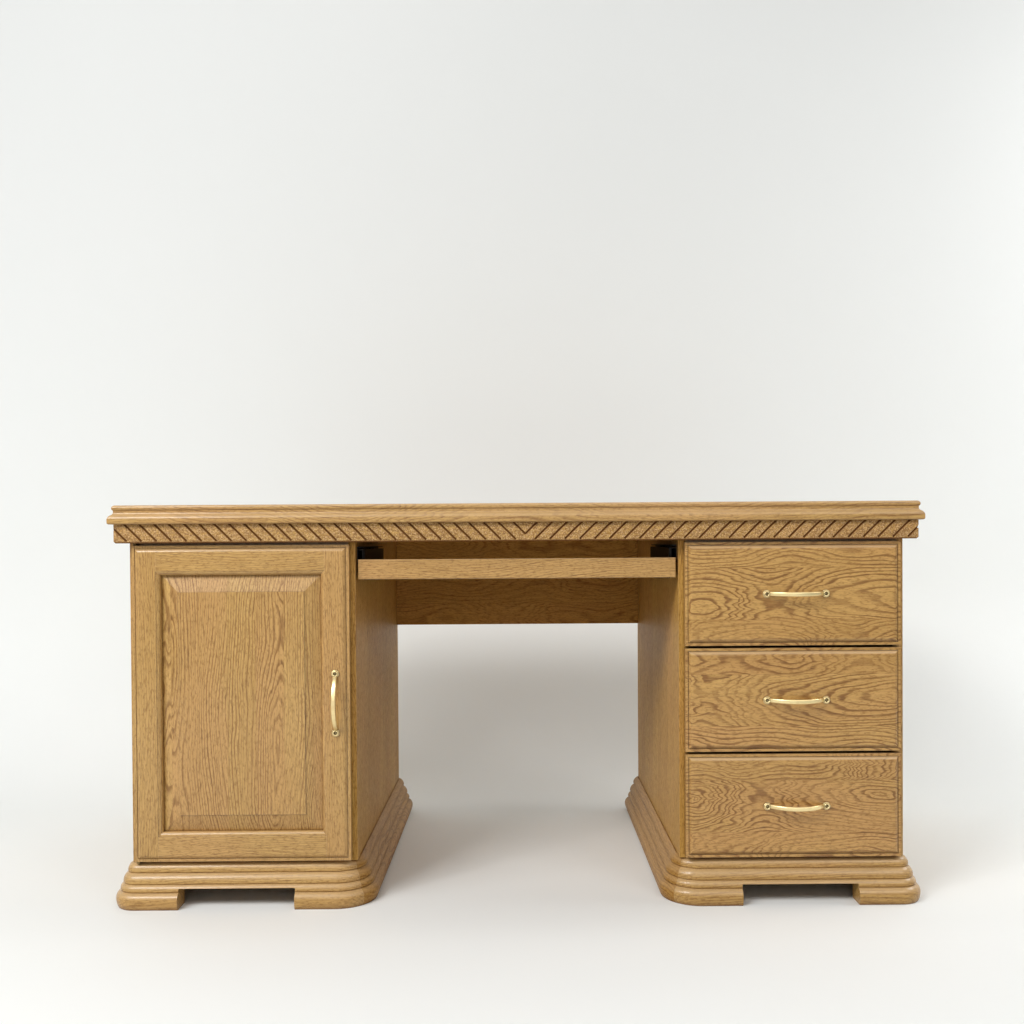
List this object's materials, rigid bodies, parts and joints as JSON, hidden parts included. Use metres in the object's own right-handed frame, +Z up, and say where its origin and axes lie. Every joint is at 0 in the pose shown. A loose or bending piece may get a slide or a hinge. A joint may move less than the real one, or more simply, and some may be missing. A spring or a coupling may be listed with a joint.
{
  "type": "writing desk",
  "caption": "Pedestal writing desk with a moulded top, chevron frieze, panelled cupboard door, stacked drawers, pull-out keyboard tray and lobed plinths.",
  "frame": {"origin": "on the floor, under the middle of the desk's box", "axes": "+X along the desk to the sitter's right, +Y from the front to the back, +Z up"},
  "size_m": [1.613, 0.756, 0.797],
  "materials": {
    "oak": "satin varnished golden oak",
    "frieze_oak": "matte stippled oak",
    "rail_wood": "planed hardwood, waxed",
    "back_panel": "matte plywood",
    "drawer_box_wood": "planed pale hardwood",
    "brass": "polished pale brass",
    "steel": "zinc plated",
    "black_steel": "black stoved"
  },
  "bodies": {
    "desk": {"tabletop": "oak", "front_frieze": "frieze_oak", "left_frieze": "frieze_oak", "right_frieze": "frieze_oak", "frieze_rails": "rail_wood", "top_fixing_bolts": "steel", "modesty_panel": "oak", "cupboard_outer_side": "oak", "cupboard_inner_side": "oak", "cupboard_top": "oak", "cupboard_bottom": "oak", "cupboard_back": "back_panel", "cupboard_shelf": "oak", "shelf_pins": "steel", "drawer_unit_outer_side": "oak", "drawer_unit_inner_side": "oak", "drawer_unit_top": "oak", "drawer_unit_bottom": "oak", "drawer_unit_back": "back_panel", "cupboard_plinth_front": "oak", "cupboard_plinth_outer_side": "oak", "cupboard_plinth_inner_side": "oak", "drawer_unit_plinth_front": "oak", "drawer_unit_plinth_outer_side": "oak", "drawer_unit_plinth_inner_side": "oak", "plinth_back_rails": "rail_wood", "drawer_rails": "rail_wood", "tray_tracks": "black_steel", "hinge_carcass_leaves": "brass", "hinge_pins": "brass", "door_catch": "black_steel"},
    "door": {"door_hinge_stile": "oak", "door_handle_stile": "oak", "door_top_rail": "oak", "door_bottom_rail": "oak", "door_panel": "oak", "door_handle": "brass", "hinge_door_leaves": "brass", "catch_plate": "steel"},
    "top_drawer": {"top_drawer_front": "oak", "top_drawer_sides": "drawer_box_wood", "top_drawer_back": "drawer_box_wood", "top_drawer_bottom": "drawer_box_wood", "top_drawer_handle": "brass"},
    "middle_drawer": {"middle_drawer_front": "oak", "middle_drawer_sides": "drawer_box_wood", "middle_drawer_back": "drawer_box_wood", "middle_drawer_bottom": "drawer_box_wood", "middle_drawer_handle": "brass"},
    "bottom_drawer": {"bottom_drawer_front": "oak", "bottom_drawer_sides": "drawer_box_wood", "bottom_drawer_back": "drawer_box_wood", "bottom_drawer_bottom": "drawer_box_wood", "bottom_drawer_handle": "brass"},
    "keyboard_tray": {"tray_board": "oak", "tray_lip": "oak", "tray_hangers": "black_steel", "tray_runners": "black_steel"},
    "tray_cages": {"tray_cages": "black_steel"}
  },
  "joints": [
    {"name": "door_hinge", "type": "hinge", "parent": "desk", "child": "door", "pos_m": [-0.7555, -0.338, 0.4], "axis": [0, 0, -1], "range_deg": [0, 110]},
    {"name": "top_drawer_slide", "type": "slide", "parent": "desk", "child": "top_drawer", "axis": [0, -1, 0], "range_m": [0, 0.4]},
    {"name": "middle_drawer_slide", "type": "slide", "parent": "desk", "child": "middle_drawer", "axis": [0, -1, 0], "range_m": [0, 0.4]},
    {"name": "bottom_drawer_slide", "type": "slide", "parent": "desk", "child": "bottom_drawer", "axis": [0, -1, 0], "range_m": [0, 0.4]},
    {"name": "tray_slide", "type": "slide", "parent": "desk", "child": "keyboard_tray", "axis": [0, -1, 0], "range_m": [0, 0.225]},
    {"name": "cage_slide", "type": "slide", "parent": "desk", "child": "tray_cages", "axis": [0, -1, 0], "range_m": [0, 0.1125]}
  ],
  "couplings": [
    {"joint": "cage_slide", "follows": "tray_slide", "ratio": 0.5}
  ]
}
